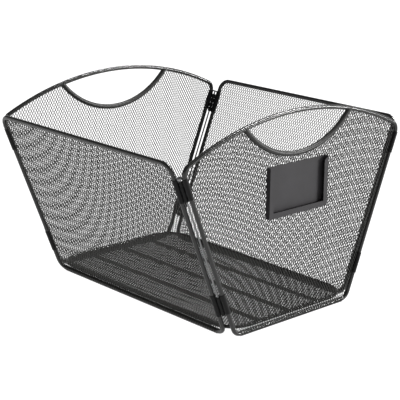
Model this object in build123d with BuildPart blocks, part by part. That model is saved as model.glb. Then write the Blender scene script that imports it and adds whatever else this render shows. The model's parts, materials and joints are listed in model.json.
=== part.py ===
from build123d import *
import os
from math import atan2, cos, degrees, hypot, sin, sqrt

# Magazine file holder: a tapered wire-and-mesh basket for hanging files and magazines.
# Two leaning long sides and two upright arched ends are joined by pin hinges at the four
# corners. A mesh floor panel drops in between them.
#
# Frame: origin on the table under the middle of the basket. X runs from the rear end to the
# front end (the end with the label holder). Y runs from the left side to the right side.
# Z is up. A long side is named by side = -1 (left) or +1 (right), an end by end = -1 or +1.

# Wires and sheets
wire_r = 2.5  # radius of the frame wires
sheet_t = 0.8  # thickness of the mesh sheets
weld_gap = 0.02  # gap left between two pieces that are welded together

# Long sides, measured between wire centre lines
half_length = 150.0  # half the distance between the two slanted wires
half_width_bottom = 96.4  # bottom wire to the middle of the basket
half_width_top = 178.2  # top wire to the middle of the basket
side_rise = 204.2  # height of the top wire above the bottom wire
side_top_r = 12.5  # corner bends at the top
side_bottom_r = 12.0  # corner bends at the bottom

# Ends, measured between wire centre lines
end_x = 159.8  # middle of the basket to an end
end_inset = 5.9  # how far an end's slanted wire sits inside the plane of a long side
arch_rise = 238.8  # top of the arch above the bottom wire
arch_r = 373.9  # radius of the arch
end_top_r = 10.0  # corner bends at the top
end_bottom_r = 12.0  # corner bends at the bottom

# Hand holes in the ends
loop_rise = 191.1  # lowest point of the loop above the bottom wire
loop_r = 107.8  # radius of the loop
loop_rod_r = 3.0  # radius of the loop's rod

# Corner hinges. Positions along a corner are measured up the slope from the bottom wire.
pin_x = 154.9  # middle of the basket to the hinge pins
pin_r = 1.0
pin_play = 0.05  # running clearance between a pin and its bores
pin_bottom = 24.6  # lower tip of a pin
washer_r = 3.0
washer_t = 1.5
dimple_depth = 0.5
sleeve_r = 3.1  # outside of the sleeve that is clamped round a frame wire
barrel_r = 2.3  # outside of a knuckle
web_t = 1.7  # thickness of the web from sleeve to knuckle
side_leaf_length = 28.0
end_leaf_length = 25.0
knuckle_height = 5.75
knuckle_gap = 0.3
first_knuckle_drop = 3.5  # from the top of the sleeve to the top of the first knuckle
hinge_tops = {"top": 202.5, "bottom": 54.0}

# Drop-in floor
floor_half_length = 157.0  # to the centre line of the floor's wire
floor_half_width = 95.0
floor_corner_r = 28.0
floor_wire_r = 2.0
floor_lift = 5.6  # floor wire above the bottom wires of the sides
rib_width = 6.0
rib_depth = 1.6
rib_spacing = 47.5

# Label holder on the front end
label_width = 92.4
label_middle = -2.4  # the holder is welded on a little left of the middle
label_bottom = 124.2  # above the bottom wire
label_top = 181.8
label_depth = 5.8
label_lip = 6.1  # width of the folded front lips
label_flare = 4.5  # the side lips widen the mouth over this height

# Lean of the long sides, and their height measured along the slope
spread = half_width_top - half_width_bottom
lean = atan2(spread, side_rise)
slope_height = hypot(spread, side_rise)

# Height of the circle centres of the arch and of the hand loop, above the bottom wire
arch_centre = arch_rise - arch_r
loop_centre = loop_rise + loop_r

# In a cut across a corner, u points out along the end's face and v points inward, square
# to the long side. Both are measured from the hinge pin to the wires it joins.
wire_u = (end_x - half_length) / 2
wire_v = end_inset * cos(lean) / 2

SIDE_NAMES = {-1: "left", 1: "right"}
END_NAMES = {-1: "rear", 1: "front"}


def side_plane(side):
    """Plane of a long side's wires: local X along the side, local Y up its slope."""
    return Plane(
        origin=(0, side * half_width_bottom, wire_r),
        x_dir=(1, 0, 0),
        z_dir=(0, -cos(lean), side * sin(lean)),
    )


def end_plane(end):
    """Plane of an end's wires: local X across the basket, local Y up."""
    return Plane(origin=(end * end_x, 0, wire_r), x_dir=(0, 1, 0), z_dir=(1, 0, 0))


def corner_plane(end, side, up_slope):
    """Plane square to a corner's pin, centred on it: local X is u, local Y is v or -v."""
    along = (0, side * sin(lean), cos(lean))
    inward = (0, -side * cos(lean), sin(lean))
    return Plane(
        origin=(
            end * pin_x,
            side * half_width_bottom + along[1] * up_slope + inward[1] * wire_v,
            wire_r + along[2] * up_slope + inward[2] * wire_v,
        ),
        x_dir=(end, 0, 0),
        z_dir=along,
    )


def side_outline(side, inset=0.0):
    """Rounded outline of a long side, along its wire or inset from it."""
    with BuildSketch(side_plane(side)) as outline:
        with Locations((0, slope_height / 2)):
            Rectangle(2 * half_length, slope_height)
        fillet(outline.vertices().group_by(Axis.Y)[-1], radius=side_top_r)
        fillet(outline.vertices().group_by(Axis.Y)[0], radius=side_bottom_r)
        if inset > 0:
            offset(amount=-inset, mode=Mode.REPLACE)
    return outline.sketch


def end_corner():
    """Where an end's slanted wire would meet its arch, before the bend is rounded."""
    slope = spread / side_rise
    base = half_width_bottom - end_inset
    a = 1 + slope**2
    b = base * slope - arch_centre
    c = base**2 + arch_centre**2 - arch_r**2
    rise = (-b + sqrt(b**2 - a * c)) / a
    return base + slope * rise, rise


def end_outline(end, inset=0.0):
    """Rounded outline of an arched end, along its wire or inset from it."""
    top_y, top_z = end_corner()
    bottom_y = half_width_bottom - end_inset
    with BuildSketch(end_plane(end)) as outline:
        with BuildLine():
            Polyline((-top_y, top_z), (-bottom_y, 0), (bottom_y, 0), (top_y, top_z))
            ThreePointArc((top_y, top_z), (0, arch_rise), (-top_y, top_z))
        make_face()
        fillet(outline.vertices().group_by(Axis.Y)[-1], radius=end_top_r)
        fillet(outline.vertices().group_by(Axis.Y)[0], radius=end_bottom_r)
        if inset > 0:
            offset(amount=-inset, mode=Mode.REPLACE)
    return outline.sketch


def floor_outline(inset=0.0):
    """Rounded outline of the floor panel, along its wire or inset from it."""
    with BuildSketch(Plane.XY.offset(wire_r + floor_lift)) as outline:
        RectangleRounded(2 * floor_half_length, 2 * floor_half_width, floor_corner_r)
        if inset > 0:
            offset(amount=-inset, mode=Mode.REPLACE)
    return outline.sketch


def wire_ring(outline, radius=wire_r):
    """Closed ring of round wire along an outline."""
    path = outline.face().outer_wire()
    with BuildPart() as ring:
        with BuildSketch(Plane(origin=path @ 0, z_dir=path % 0)):
            Circle(radius)
        sweep(path=path)
    return ring.part


def sheet(outline):
    """Flat sheet centred on an outline's plane."""
    with BuildPart() as panel:
        extrude(outline.face(), amount=sheet_t / 2, both=True)
    return panel.part


def end_sheet(end):
    """Sheet of an arched end, cut away above the hand loop."""
    with BuildPart() as panel:
        add(sheet(end_outline(end, inset=wire_r + weld_gap)))
        with BuildSketch(end_plane(end)):
            with Locations((0, loop_centre)):
                Circle(loop_r + loop_rod_r + weld_gap)
        extrude(amount=sheet_t, both=True, mode=Mode.SUBTRACT)
    return panel.part


def hand_loop(end):
    """Rod bent down from the arch to form the lower edge of the hand hole."""
    meet_z = (arch_r**2 - loop_r**2 - arch_centre**2 + loop_centre**2) / (
        2 * (loop_centre - arch_centre)
    )
    meet_y = sqrt(arch_r**2 - (meet_z - arch_centre) ** 2)
    with BuildPart() as rod:
        with BuildLine(end_plane(end)) as arc:
            ThreePointArc((-meet_y, meet_z), (0, loop_rise), (meet_y, meet_z))
        with BuildSketch(Plane(origin=arc.line @ 0, z_dir=arc.line % 0)):
            Circle(loop_rod_r)
        sweep(path=arc.line)
        add(wire_ring(end_outline(end), wire_r + weld_gap), mode=Mode.SUBTRACT)
    return rod.part.solids().sort_by(SortBy.VOLUME)[-1]


def hinge_leaf(end, side, top, length, on_end):
    """Half of a hinge: a sleeve round a frame wire with two knuckles round the pin.

    The leaf on an end has the first and third knuckle from the top, the leaf on a long
    side has the second and fourth.
    """
    v_sign = -end * side
    where = 1 if on_end else -1
    wire_at = (where * wire_u, where * v_sign * wire_v)
    slot_t = sheet_t + 2 * weld_gap
    first = 0 if on_end else 1
    with BuildPart() as leaf:
        with BuildSketch(corner_plane(end, side, top)):
            with Locations(wire_at):
                Circle(sleeve_r)
                Circle(wire_r + weld_gap, mode=Mode.SUBTRACT)
            if on_end:
                with Locations((wire_at[0], wire_at[1] + v_sign * sleeve_r / 2)):
                    Rectangle(slot_t, sleeve_r + 0.2, mode=Mode.SUBTRACT)
            else:
                with Locations((wire_at[0] - sleeve_r / 2, wire_at[1])):
                    Rectangle(sleeve_r + 0.2, slot_t, mode=Mode.SUBTRACT)
        extrude(amount=-length)
        for knuckle in (first, first + 2):
            drop = first_knuckle_drop + knuckle * (knuckle_height + knuckle_gap)
            with BuildSketch(corner_plane(end, side, top - drop)):
                with Locations((wire_at[0] / 2, wire_at[1] / 2)):
                    Rectangle(
                        hypot(*wire_at), web_t, rotation=degrees(atan2(wire_at[1], wire_at[0]))
                    )
                Circle(barrel_r)
                Circle(pin_r + pin_play, mode=Mode.SUBTRACT)
                with Locations(wire_at):
                    Circle(wire_r + weld_gap, mode=Mode.SUBTRACT)
            extrude(amount=-knuckle_height)
    return leaf.part


def hinge_pin(end, side):
    """Long pin through both hinges of a corner, hung from a washer at its top."""
    top = hinge_tops["top"] + weld_gap
    with BuildPart() as pin:
        with BuildSketch(corner_plane(end, side, pin_bottom)):
            Circle(pin_r)
        extrude(amount=top - pin_bottom)
        with BuildSketch(corner_plane(end, side, top)):
            Circle(washer_r)
        extrude(amount=washer_t)
        with BuildSketch(corner_plane(end, side, top + washer_t)):
            Circle(pin_r)
        extrude(amount=-dimple_depth, mode=Mode.SUBTRACT)
        chamfer(pin.faces().sort_by(Axis.Z)[0].edges(), length=0.3)
    return pin.part


def floor_rib(y):
    """Upside-down channel under the floor sheet, running along X."""
    top = wire_r + floor_lift - sheet_t / 2 - weld_gap
    length = 2 * (floor_half_length - floor_wire_r - weld_gap)
    with BuildPart() as rib:
        with BuildSketch(Plane.YZ.offset(-length / 2)):
            with Locations((y, top - rib_depth / 2)):
                Rectangle(rib_width, rib_depth)
            with Locations((y, top - sheet_t - rib_depth / 2)):
                Rectangle(rib_width - 2 * sheet_t, rib_depth, mode=Mode.SUBTRACT)
        extrude(amount=length)
    return rib.part


def label_frame():
    """Folded sheet with lips on three sides, open at the top for a card."""
    height = label_top - label_bottom
    back = end_x + sheet_t / 2 + weld_gap
    middle = (label_middle, wire_r + (label_bottom + label_top) / 2)
    side = label_width / 2
    foot = label_lip - height / 2
    head = height / 2
    mouth = [
        (label_lip - side, foot),
        (side - label_lip, foot),
        (side - label_lip, head - label_flare),
        (side, head),
        (-side, head),
        (label_lip - side, head - label_flare),
    ]
    with BuildPart() as holder:
        with BuildSketch(Plane.YZ.offset(back)):
            with Locations(middle):
                Rectangle(label_width, height)
        extrude(amount=label_depth)
        with BuildSketch(Plane.YZ.offset(back + sheet_t)):
            with Locations((label_middle, middle[1] + sheet_t)):
                Rectangle(label_width - 2 * sheet_t, height)
        extrude(amount=label_depth - 2 * sheet_t, mode=Mode.SUBTRACT)
        with BuildSketch(Plane.YZ.offset(back + label_depth)):
            with Locations(middle):
                Polygon(*mouth, align=None)
        extrude(amount=-1.5 * sheet_t, mode=Mode.SUBTRACT)
    return holder.part


def save(piece, name):
    piece.label = name
    export_step(piece, "parts/" + name + ".step")


os.makedirs("parts", exist_ok=True)

for side, side_name in SIDE_NAMES.items():
    save(wire_ring(side_outline(side)), side_name + "_side_frame")
    save(sheet(side_outline(side, inset=wire_r + weld_gap)), side_name + "_side_mesh")

for end, end_name in END_NAMES.items():
    save(wire_ring(end_outline(end)), end_name + "_end_frame")
    save(end_sheet(end), end_name + "_end_mesh")
    save(hand_loop(end), end_name + "_handle_loop")

save(label_frame(), "label_holder")

save(wire_ring(floor_outline(), floor_wire_r), "floor_frame")
save(sheet(floor_outline(inset=floor_wire_r + weld_gap)), "floor_mesh")
for rib_name, rib_y in (("left", -rib_spacing), ("middle", 0), ("right", rib_spacing)):
    save(floor_rib(rib_y), "floor_rib_" + rib_name)

for end, end_name in END_NAMES.items():
    for side, side_name in SIDE_NAMES.items():
        corner = end_name + "_" + side_name
        save(hinge_pin(end, side), "hinge_pin_" + corner)
        for level, top in hinge_tops.items():
            end_leaf = hinge_leaf(end, side, top, end_leaf_length, True)
            side_leaf = hinge_leaf(end, side, top, side_leaf_length, False)
            save(end_leaf, "hinge_" + corner + "_" + level + "_end_leaf")
            save(side_leaf, "hinge_" + corner + "_" + level + "_side_leaf")
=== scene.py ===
"""Magazine file holder: a tapered basket of black wire and expanded-metal mesh.

The CAD frame holds the wires, hand loops, hinges, pins, floor ribs and label holder. The flat
CAD sheets are replaced here by real expanded metal: a lattice of six-sided holes cut to each
panel's outline, with hems of the same metal folded round the bottom wires and the floor's wire.
"""

import json
import math

import bmesh
import bpy
import numpy as np
from mathutils import Matrix, Vector


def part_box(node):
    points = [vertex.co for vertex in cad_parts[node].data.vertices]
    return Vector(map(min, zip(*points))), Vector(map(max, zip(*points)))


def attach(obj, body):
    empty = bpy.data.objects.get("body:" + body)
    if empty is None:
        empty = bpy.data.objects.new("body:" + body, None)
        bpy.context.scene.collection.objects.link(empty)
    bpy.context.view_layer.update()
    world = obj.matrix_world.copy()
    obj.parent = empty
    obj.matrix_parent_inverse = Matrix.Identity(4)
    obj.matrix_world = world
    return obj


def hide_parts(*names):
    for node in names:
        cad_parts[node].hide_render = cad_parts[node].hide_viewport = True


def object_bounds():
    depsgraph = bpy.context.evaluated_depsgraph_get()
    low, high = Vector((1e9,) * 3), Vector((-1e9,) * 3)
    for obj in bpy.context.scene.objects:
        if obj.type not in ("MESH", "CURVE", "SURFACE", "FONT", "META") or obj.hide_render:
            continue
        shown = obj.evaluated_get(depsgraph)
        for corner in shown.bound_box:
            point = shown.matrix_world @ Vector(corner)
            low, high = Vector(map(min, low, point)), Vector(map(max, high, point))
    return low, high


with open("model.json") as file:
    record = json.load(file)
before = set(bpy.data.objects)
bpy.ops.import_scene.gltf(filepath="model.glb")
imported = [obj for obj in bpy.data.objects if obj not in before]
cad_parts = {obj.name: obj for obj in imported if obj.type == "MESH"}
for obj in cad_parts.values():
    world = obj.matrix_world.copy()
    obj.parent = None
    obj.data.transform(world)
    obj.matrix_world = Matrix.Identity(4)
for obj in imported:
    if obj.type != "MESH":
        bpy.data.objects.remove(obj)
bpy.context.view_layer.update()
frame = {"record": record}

MM = 0.001

# Wires, as in the CAD model. What isn't named here is worked out from the nodes' boxes.
WIRE_R = (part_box("front_end_frame")[1].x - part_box("front_end_frame")[0].x) / 2
FLOOR_WIRE_R = (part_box("floor_frame")[1].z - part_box("floor_frame")[0].z) / 2
SIDE_TOP_BEND = 12.5 * MM
SIDE_BOTTOM_BEND = 12 * MM
END_TOP_BEND = 10 * MM
END_BOTTOM_BEND = 12 * MM
END_INSET = 5.9 * MM  # an end's slanted wire sits this far inside a long side's plane
ARCH_R = 373.9 * MM
LOOP_R = 107.8 * MM  # hand loop's centre line
LOOP_ROD_R = 3 * MM
FLOOR_BEND = 28 * MM

# Straight steps in a bend, in an arch and round a hand hole
BEND_STEPS = 6
ARCH_STEPS = 24
HAND_HOLE_STEPS = 90

# Expanded metal
HOLE_PITCH = 3.75 * MM  # across the short way of the holes
ROW_PITCH = 3.15 * MM  # from one staggered row to the next
HOLE_HALF_WIDTH = 1.38 * MM
HOLE_HALF_HEIGHT = 2.42 * MM
HOLE_SHOULDER = 0.46 * MM  # half the straight part at each side of a hole
METAL_T = 0.45 * MM
STRAND_TWIST = 0.16 * MM  # how far a strand's ends lean out of the sheet
FLOOR_GAPE = 0.7  # the floor's holes are this much smaller than the others
TIGHT_HEM = (WIRE_R + 0.24 * MM, 2.9 * MM)  # radius round a wire, and reach to the sheet
LOOSE_HEM = (WIRE_R + 0.45 * MM, 3.05 * MM)
FLOOR_HEM = (FLOOR_WIRE_R + 0.24 * MM, 2.6 * MM)
HEM_LIFT = 0.5 * MM  # the hem lies this far off the sheet
MARGIN = 2 * ROW_PITCH  # of lattice kept past an outline until it is trimmed
CUT_SNAP = 1e-7  # corners this close to a cut are taken to be on it
TIE = 1e-12  # distances closer than this are taken to be equal

# Camera: position, and its right, up and backward directions
CAMERA_AT = Vector((1.08106, -0.99196, 0.52778))
CAMERA_RIGHT = Vector((0.67416, 0.73849, 0.01195))
CAMERA_UP = Vector((-0.21274, 0.17865, 0.96064))
CAMERA_BACK = Vector((0.70729, -0.65016, 0.27754))
CAMERA_LENS = 114.1  # mm
CAMERA_SENSOR = 36  # mm

# Powder coat: blotches of colour and gloss, and an orange peel. Scales are per metre.
BLOTCH_SCALE = 45.0
BLOTCH_DETAIL = 4.0
BLOTCH_ROUGHNESS = 0.6
BLOTCH_EDGES = (0.3, 0.7)  # noise levels of the dark and the light colour
PEEL_SCALE = 900.0
PEEL_DETAIL = 2.0
PEEL_STRENGTH = 0.5
PEEL_DEPTH = 0.06 * MM
ZINC_METALLIC = 0.9

# Each material slot's dark and light colour, roughness, shine and spread of roughness
COATS = {
    "frame_wire": ((0.005, 0.005, 0.0045), (0.009, 0.009, 0.008), 0.23, 0.42, 0.08),
    "handle_rod": ((0.014, 0.014, 0.013), (0.022, 0.022, 0.021), 0.4, 0.22, 0.2),
    "side_mesh": ((0.006, 0.006, 0.005), (0.012, 0.012, 0.01), 0.5, 0.22, 0.2),
    "end_mesh": ((0.006, 0.006, 0.005), (0.012, 0.012, 0.01), 0.5, 0.22, 0.2),
    # Painted shade: the floor's mesh and ribs are the same black coat as the sides and ends, made
    # darker for the shade inside the basket and the grazing view of the floor
    "floor_mesh": ((0.004, 0.004, 0.0035), (0.007, 0.007, 0.006), 0.5, 0.14, 0.2),
    "floor_rib": ((0.004, 0.004, 0.004), (0.007, 0.007, 0.007), 0.5, 0.2, 0.2),
    "label_sheet": ((0.015, 0.014, 0.015), (0.022, 0.0205, 0.023), 0.5, 0.22, 0.2),
    "hinge_steel": ((0.002, 0.002, 0.002), (0.004, 0.004, 0.004), 0.45, 0.14, 0.2),
    "pin_zinc": ((0.16, 0.16, 0.165), (0.26, 0.26, 0.26), 0.42, 0.3, 0.2),
}

# Studio: a broad soft light over the right of the basket, a smaller one low on the right
SOFTBOXES = {  # where the light comes from, its strength and its spread in degrees
    "overhead": ((0.15, 0.6, 0.78), 5.2, 36),
    "side": ((0.65, 0.75, 0.14), 2.8, 22),
}
WORLD_STRENGTH = 0.2
PAPER_GREY = 0.15
PAPER_ROUGHNESS = 0.9
PAPER_GLOW = 1.0
PAPER_REACH = 8.0  # from the basket to the wall, in metres
COVE_R = 1.0  # bend from table to wall
WALL_TOP = 2.0
COVE_STEPS = 6
TABLE_STEPS = 72  # round the table

# ---------------------------------------------------------------- outlines, in a panel's plane


def rounded(corners):
    """Closed outline through corners of (x, y, bend radius), each rounded to its radius."""
    loop = []
    count = len(corners)
    for i, (x, y, radius) in enumerate(corners):
        here = Vector((x, y))
        if not radius:
            loop.append(here)
            continue
        before = (Vector(corners[i - 1][:2]) - here).normalized()
        after = (Vector(corners[(i + 1) % count][:2]) - here).normalized()
        half = before.angle(after) / 2
        centre = here + (before + after).normalized() * radius / math.sin(half)
        start = here + before * radius / math.tan(half) - centre
        end = here + after * radius / math.tan(half) - centre
        sweep = math.pi - 2 * half
        for k in range(BEND_STEPS + 1):
            part = k / BEND_STEPS
            a, b = math.sin((1 - part) * sweep), math.sin(part * sweep)
            loop.append(centre + (start * a + end * b) / math.sin(sweep))
    return loop


class Panel:
    """Plane of a mesh panel: a point in it, its two directions and its outward normal."""

    def __init__(self, origin, across, up):
        self.origin = Vector(origin)
        self.across = Vector(across).normalized()
        self.up = Vector(up).normalized()
        self.out = self.across.cross(self.up)

    def place(self, x, y, height):
        return self.origin + self.across * x + self.up * y + self.out * height


def side_panel(side):
    """A long side: half its length, its height up the slope, and its plane."""
    low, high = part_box("right_side_frame")
    foot, head = low.y + WIRE_R, high.y - WIRE_R
    rise = high.z - low.z - 2 * WIRE_R
    plane = Panel((0, side * foot, WIRE_R), (-side, 0, 0), (0, side * (head - foot), rise))
    return plane, high.x - WIRE_R, math.hypot(head - foot, rise)


def side_loop(half, height):
    return rounded(
        [
            (-half, 0, SIDE_BOTTOM_BEND),
            (half, 0, SIDE_BOTTOM_BEND),
            (half, height, SIDE_TOP_BEND),
            (-half, height, SIDE_TOP_BEND),
        ]
    )


def end_sizes():
    """Half width at the foot, side slope, and height of the arch over the bottom wire."""
    low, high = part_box("right_side_frame")
    foot = low.y + WIRE_R
    slope = (high.y - low.y - 2 * WIRE_R) / (high.z - low.z - 2 * WIRE_R)
    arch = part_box("front_end_frame")[1].z - 2 * WIRE_R
    return foot - END_INSET, slope, arch


def end_corner():
    """Where the slanted wire would meet the arch."""
    foot, slope, arch = end_sizes()
    centre = arch - ARCH_R
    a = 1 + slope**2
    b = foot * slope - centre
    c = foot**2 + centre**2 - ARCH_R**2
    rise = (math.sqrt(b * b - a * c) - b) / a
    return foot + slope * rise, rise


def end_loop():
    foot, _, arch = end_sizes()
    head, rise = end_corner()
    span = math.asin(head / ARCH_R)
    corners = [(-foot, 0, END_BOTTOM_BEND), (foot, 0, END_BOTTOM_BEND), (head, rise, END_TOP_BEND)]
    for k in range(1, ARCH_STEPS):
        turn = span * (1 - 2 * k / ARCH_STEPS)
        corners.append((ARCH_R * math.sin(turn), arch - ARCH_R * (1 - math.cos(turn)), 0))
    corners.append((-head, rise, END_TOP_BEND))
    return rounded(corners)


def hand_hole_loop():
    """Circle of the hand loop, run backwards so that the metal outside it is kept."""
    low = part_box("front_handle_loop")[0].z + LOOP_ROD_R - WIRE_R
    turns = [-2 * math.pi * k / HAND_HOLE_STEPS for k in range(HAND_HOLE_STEPS)]
    return [
        Vector((LOOP_R * math.cos(t), low + LOOP_R + LOOP_R * math.sin(t))) for t in turns
    ]


# ---------------------------------------------------------------- expanded metal


def distance_outside(points, loop):
    """Signed distance of each point from a closed loop, positive outside it."""
    start = np.array(loop)
    step = np.roll(start, -1, axis=0) - start
    best = np.full(len(points), np.inf)
    sign = np.ones(len(points))
    for a, s in zip(start, step):
        along = np.clip(((points - a) @ s) / (s @ s), 0, 1)
        gap = points - (a + along[:, None] * s)
        far = np.hypot(*gap.T)
        turn = s[0] * (points[:, 1] - a[1]) - s[1] * (points[:, 0] - a[0])
        nearer = far < best - TIE
        sign[nearer] = np.where(turn[nearer] > 0, -1, 1)
        best = np.minimum(best, far)
    return best * sign


def lattice(loops, gape=1.0):
    """Flat bmesh of strands and bonds between staggered holes, a little past the loops."""
    points = np.array(loops[0])
    low, high = points.min(0) - MARGIN, points.max(0) + MARGIN
    rows = range(int(low[1] // ROW_PITCH), int(high[1] // ROW_PITCH) + 2)
    columns = range(int(low[0] // HOLE_PITCH), int(high[0] // HOLE_PITCH) + 2)
    keys = [(i, j) for j in rows for i in columns]
    centres = np.array([((i + j % 2 / 2) * HOLE_PITCH, j * ROW_PITCH) for i, j in keys])
    wanted = np.ones(len(keys), bool)
    for loop in loops:
        wanted &= distance_outside(centres, loop) < MARGIN
    w, h, t = (gape * size for size in (HOLE_HALF_WIDTH, HOLE_HALF_HEIGHT, HOLE_SHOULDER))
    rim = [(w, t, 0), (0, h, 1), (-w, t, 0), (-w, -t, 0), (0, -h, -1), (w, -t, 0)]
    metal = bmesh.new()
    holes = {}
    for key, centre, keep in zip(keys, centres, wanted):
        if keep:
            holes[key] = [
                metal.verts.new((centre[0] + x, centre[1] + y, z * STRAND_TWIST))
                for x, y, z in rim
            ]
    for (i, j), here in holes.items():
        above_right = holes.get((i + j % 2, j + 1))
        above_left = holes.get((i + j % 2 - 1, j + 1))
        above = holes.get((i, j + 2))
        if above_right:
            metal.faces.new((here[0], above_right[4], above_right[3], here[1]))
        if above_left:
            metal.faces.new((here[1], above_left[5], above_left[4], here[2]))
        if above_right and above_left and above:
            bond = (here[1], above_right[3], above_right[2], above[4])
            metal.faces.new((*bond, above_left[0], above_left[5]))
    return metal


def trim(metal, loop):
    """Cuts the flat metal along a loop that runs counter-clockwise round what is kept."""
    for a, b in zip(loop, loop[1:] + loop[:1]):
        middle = ((a + b) / 2).to_3d()
        reach = (b - a).length / 2 + 2 * MARGIN
        near = [f for f in metal.faces if (f.calc_center_median() - middle).length < reach]
        # Both kept in order, so that every run numbers the cut mesh alike
        corners = dict.fromkeys(v for f in near for v in f.verts)
        edges = dict.fromkeys(e for f in near for e in f.edges)
        outward = Vector((b.y - a.y, a.x - b.x, 0))
        bmesh.ops.bisect_plane(
            metal,
            geom=[*near, *corners, *edges],
            dist=CUT_SNAP,
            plane_co=middle,
            plane_no=outward,
            clear_outer=True,
        )
    loose = [v for v in metal.verts if not v.link_faces]
    bmesh.ops.delete(metal, geom=loose, context="VERTS")


def metal_piece(name, metal, body, slot, replaced=()):
    mesh = bpy.data.meshes.new(name)
    metal.to_mesh(mesh)
    metal.free()
    piece = bpy.data.objects.new(name, mesh)
    bpy.context.scene.collection.objects.link(piece)
    thicken = piece.modifiers.new("thickness", "SOLIDIFY")
    thicken.thickness = METAL_T
    thicken.offset = 0
    mesh.materials.append(MATERIALS[slot])
    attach(piece, body)
    if replaced:
        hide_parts(*replaced)
    return piece


def mesh_panel(name, panel, loops, body, slot, replaced, gape=1.0):
    """Expanded metal cut to loops, in a panel's plane."""
    metal = lattice(loops, gape)
    for loop in loops:
        trim(metal, loop)
    for v in metal.verts:
        v.co = panel.place(*v.co)
    return metal_piece(name, metal, body, slot, replaced)


def hem_section(s, hem):
    """Point of a hem's cross-section at s: towards the wire's outside, and off the sheet."""
    radius, reach = hem
    tangent = math.sqrt(reach**2 - radius**2)
    phi = math.pi - math.acos(radius / reach)
    sign = 1
    if s > tangent + phi * radius:
        s = 2 * (tangent + phi * radius) - s
        sign = -1
    if s < tangent:
        part = s / tangent
        x = -reach + part * (radius * math.cos(phi) + reach)
        return x, sign * (HEM_LIFT + part * (radius * math.sin(phi) - HEM_LIFT))
    turn = phi - (s - tangent) / radius
    return radius * math.cos(turn), sign * radius * math.sin(turn)


def hem_width(hem):
    radius, reach = hem
    return 2 * (math.sqrt(reach**2 - radius**2) + (math.pi - math.acos(radius / reach)) * radius)


def add_hem(whole, panel, start, end, rows_across, hem=TIGHT_HEM):
    """Folds a strip of expanded metal round the straight wire from start to end.

    The panel lies on the left of that run. rows_across turns the holes' long way across it.
    """
    along = (end - start).normalized()
    outward = Vector((along.y, -along.x))
    length, width = (end - start).length, hem_width(hem)
    if rows_across:
        strip = [Vector((0, 0)), Vector((length, 0)), Vector((length, width)), Vector((0, width))]
    else:
        strip = [Vector((0, 0)), Vector((width, 0)), Vector((width, length)), Vector((0, length))]
    metal = lattice([strip])
    trim(metal, strip)
    for v in metal.verts:
        run, s = (v.co.x, v.co.y) if rows_across else (v.co.y, v.co.x)
        x, height = hem_section(s, hem)
        at = start + along * run + outward * x
        v.co = panel.place(at.x, at.y, height)
    scratch = bpy.data.meshes.new("scratch")
    metal.to_mesh(scratch)
    metal.free()
    whole.from_mesh(scratch)
    bpy.data.meshes.remove(scratch)


# ---------------------------------------------------------------- materials


def node(tree, kind, **inputs):
    made = tree.nodes.new(kind)
    for name, value in inputs.items():
        made.inputs[name].default_value = value
    return made


def powder_coat(name, dark, light, roughness, shine, spread):
    """Satin powder coat: faint blotches of colour and gloss over a fine orange-peel bump."""
    material = bpy.data.materials.new(name)
    material.use_nodes = True
    tree = material.node_tree
    shader = tree.nodes["Principled BSDF"]
    shader.inputs["Specular IOR Level"].default_value = shine
    where = node(tree, "ShaderNodeTexCoord")
    blotch = node(
        tree,
        "ShaderNodeTexNoise",
        Scale=BLOTCH_SCALE,
        Detail=BLOTCH_DETAIL,
        Roughness=BLOTCH_ROUGHNESS,
    )
    tree.links.new(where.outputs["Object"], blotch.inputs["Vector"])
    tint = node(tree, "ShaderNodeValToRGB")
    for end, edge, colour in zip(tint.color_ramp.elements, BLOTCH_EDGES, (dark, light)):
        end.position = edge
        end.color = (*colour, 1)
    tree.links.new(blotch.outputs["Fac"], tint.inputs["Fac"])
    tree.links.new(tint.outputs["Color"], shader.inputs["Base Color"])
    gloss = node(tree, "ShaderNodeMapRange")
    gloss.inputs["To Min"].default_value = roughness - spread / 4
    gloss.inputs["To Max"].default_value = roughness + spread / 4
    tree.links.new(blotch.outputs["Fac"], gloss.inputs["Value"])
    tree.links.new(gloss.outputs["Result"], shader.inputs["Roughness"])
    peel = node(tree, "ShaderNodeTexNoise", Scale=PEEL_SCALE, Detail=PEEL_DETAIL)
    tree.links.new(where.outputs["Object"], peel.inputs["Vector"])
    bump = node(tree, "ShaderNodeBump", Strength=PEEL_STRENGTH, Distance=PEEL_DEPTH)
    tree.links.new(peel.outputs["Fac"], bump.inputs["Height"])
    tree.links.new(bump.outputs["Normal"], shader.inputs["Normal"])
    return material


MATERIALS = {slot: powder_coat(slot, *coat) for slot, coat in COATS.items()}


def make_zinc_metal():
    """Turns the pins' coat into dull zinc plating with a cloudy passivation."""
    shader = MATERIALS["pin_zinc"].node_tree.nodes["Principled BSDF"]
    shader.inputs["Metallic"].default_value = ZINC_METALLIC


def finish_cad_nodes():
    """Gives each CAD node the material of its slot in the record."""
    slots = {s["node"]: s["material_slot"] for s in frame["record"]["subparts"]}
    for name, slot in slots.items():
        solid = bpy.data.objects[name]
        for material_slot in solid.material_slots:
            material_slot.material = MATERIALS[slot]


# ---------------------------------------------------------------- pieces


def build_sides():
    for side, name in ((-1, "left"), (1, "right")):
        panel, half, height = side_panel(side)
        loop = side_loop(half, height)
        mesh_panel(
            name + "_side_expanded_metal",
            panel,
            [loop],
            "basket",
            "side_mesh",
            [name + "_side_mesh"],
        )
        reach = half - SIDE_BOTTOM_BEND
        hems = bmesh.new()
        add_hem(hems, panel, Vector((-reach, 0)), Vector((reach, 0)), True)
        metal_piece(name + "_side_hem", hems, "basket", "side_mesh")


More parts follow.
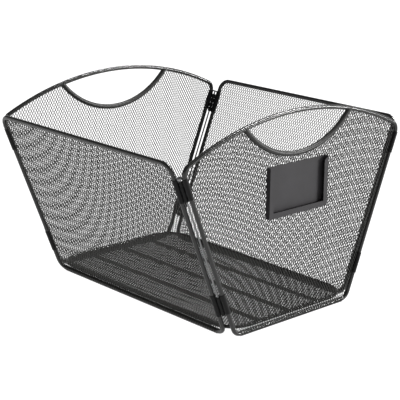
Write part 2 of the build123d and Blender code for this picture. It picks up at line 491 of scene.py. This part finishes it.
def build_ends():
    foot, slope, _ = end_sizes()
    reach = foot - END_BOTTOM_BEND * math.tan((math.pi / 2 - math.atan(slope)) / 2)
    for end, name in ((-1, "rear"), (1, "front")):
        low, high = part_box(name + "_end_frame")
        panel = Panel(((low.x + high.x) / 2, 0, WIRE_R), (0, end, 0), (0, 0, 1))
        mesh_panel(
            name + "_end_expanded_metal",
            panel,
            [end_loop(), hand_hole_loop()],
            "basket",
            "end_mesh",
            [name + "_end_mesh"],
        )
        hems = bmesh.new()
        add_hem(hems, panel, Vector((-reach, 0)), Vector((reach, 0)), True, LOOSE_HEM)
        metal_piece(name + "_end_hem", hems, "basket", "end_mesh")


def build_floor():
    low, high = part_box("floor_frame")
    half_x, half_y = high.x - FLOOR_WIRE_R, high.y - FLOOR_WIRE_R
    panel = Panel((0, 0, (low.z + high.z) / 2), (1, 0, 0), (0, 1, 0))
    corners = [(-half_x, -half_y), (half_x, -half_y), (half_x, half_y), (-half_x, half_y)]
    loop = rounded([(x, y, FLOOR_BEND) for x, y in corners])
    mesh_panel(
        "floor_expanded_metal",
        panel,
        [loop],
        "floor",
        "floor_mesh",
        ["floor_mesh"],
        FLOOR_GAPE,
    )
    x, y = half_x - FLOOR_BEND, half_y - FLOOR_BEND
    hems = bmesh.new()
    for sign in (-1, 1):
        start, end = Vector((sign * x, sign * half_y)), Vector((-sign * x, sign * half_y))
        add_hem(hems, panel, start, end, True, FLOOR_HEM)
        start, end = Vector((sign * half_x, -sign * y)), Vector((sign * half_x, sign * y))
        add_hem(hems, panel, start, end, False, FLOOR_HEM)
    metal_piece("floor_hem", hems, "floor", "floor_mesh")


# ---------------------------------------------------------------- studio


def lit_paper():
    """White paper lit from behind."""
    paper = bpy.data.materials.new("paper")
    paper.use_nodes = True
    shader = paper.node_tree.nodes["Principled BSDF"]
    shader.inputs["Base Color"].default_value = (PAPER_GREY, PAPER_GREY, PAPER_GREY, 1)
    shader.inputs["Roughness"].default_value = PAPER_ROUGHNESS
    shader.inputs["Specular IOR Level"].default_value = 0.0
    shader.inputs["Emission Color"].default_value = (1, 1, 1, 1)
    shader.inputs["Emission Strength"].default_value = PAPER_GLOW
    return paper


def build_sky():
    """Dim white sky."""
    world = bpy.data.worlds.new("studio")
    bpy.context.scene.world = world
    world.use_nodes = True
    world.node_tree.nodes["Background"].inputs["Color"].default_value = (1, 1, 1, 1)
    world.node_tree.nodes["Background"].inputs["Strength"].default_value = WORLD_STRENGTH


def table_profile():
    """Distance from the middle and height, from the edge of the flat table to the wall's top."""
    profile = [(PAPER_REACH - COVE_R, 0)]
    for k in range(1, COVE_STEPS + 1):
        turn = math.pi / 2 * k / COVE_STEPS
        across = PAPER_REACH - COVE_R + COVE_R * math.sin(turn)
        profile.append((across, COVE_R * (1 - math.cos(turn))))
    profile.append((PAPER_REACH, WALL_TOP))
    return profile


def build_table():
    """Round paper table that curves up into a low wall."""
    sweep = bmesh.new()
    turns = [2 * math.pi * k / TABLE_STEPS for k in range(TABLE_STEPS)]
    rings = [
        [sweep.verts.new((across * math.cos(t), across * math.sin(t), up)) for t in turns]
        for across, up in table_profile()
    ]
    sweep.faces.new(rings[0])
    for inner, outer in zip(rings, rings[1:]):
        for k in range(TABLE_STEPS):
            sweep.faces.new((inner[k - 1], outer[k - 1], outer[k], inner[k]))
    mesh = bpy.data.meshes.new("table")
    sweep.to_mesh(mesh)
    sweep.free()
    table = bpy.data.objects.new("table", mesh)
    table.location.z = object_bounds()[0].z
    bpy.context.scene.collection.objects.link(table)
    mesh.materials.append(lit_paper())
    table.visible_shadow = False  # the wall would block the low side light


def build_lights():
    """Broad soft lights, as suns so that they are even over the whole basket."""
    for name, (source, strength, spread) in SOFTBOXES.items():
        light = bpy.data.lights.new(name, "SUN")
        light.energy = strength
        light.angle = math.radians(spread)
        light.cycles.use_multiple_importance_sampling = False  # keeps the wall out of its way
        lamp = bpy.data.objects.new(name, light)
        lamp.rotation_euler = Vector(source).to_track_quat("Z", "Y").to_euler()
        bpy.context.scene.collection.objects.link(lamp)


def build_camera():
    lens = bpy.data.cameras.new("camera")
    lens.lens = CAMERA_LENS
    lens.sensor_width = CAMERA_SENSOR
    camera = bpy.data.objects.new("camera", lens)
    turn = Matrix((CAMERA_RIGHT, CAMERA_UP, CAMERA_BACK)).transposed()
    camera.matrix_world = Matrix.Translation(CAMERA_AT) @ turn.to_4x4()
    bpy.context.scene.collection.objects.link(camera)
    bpy.context.scene.camera = camera


bpy.context.scene.view_settings.view_transform = "Standard"
make_zinc_metal()
finish_cad_nodes()
build_sides()
build_ends()
build_floor()
build_sky()
build_table()
build_lights()
build_camera()
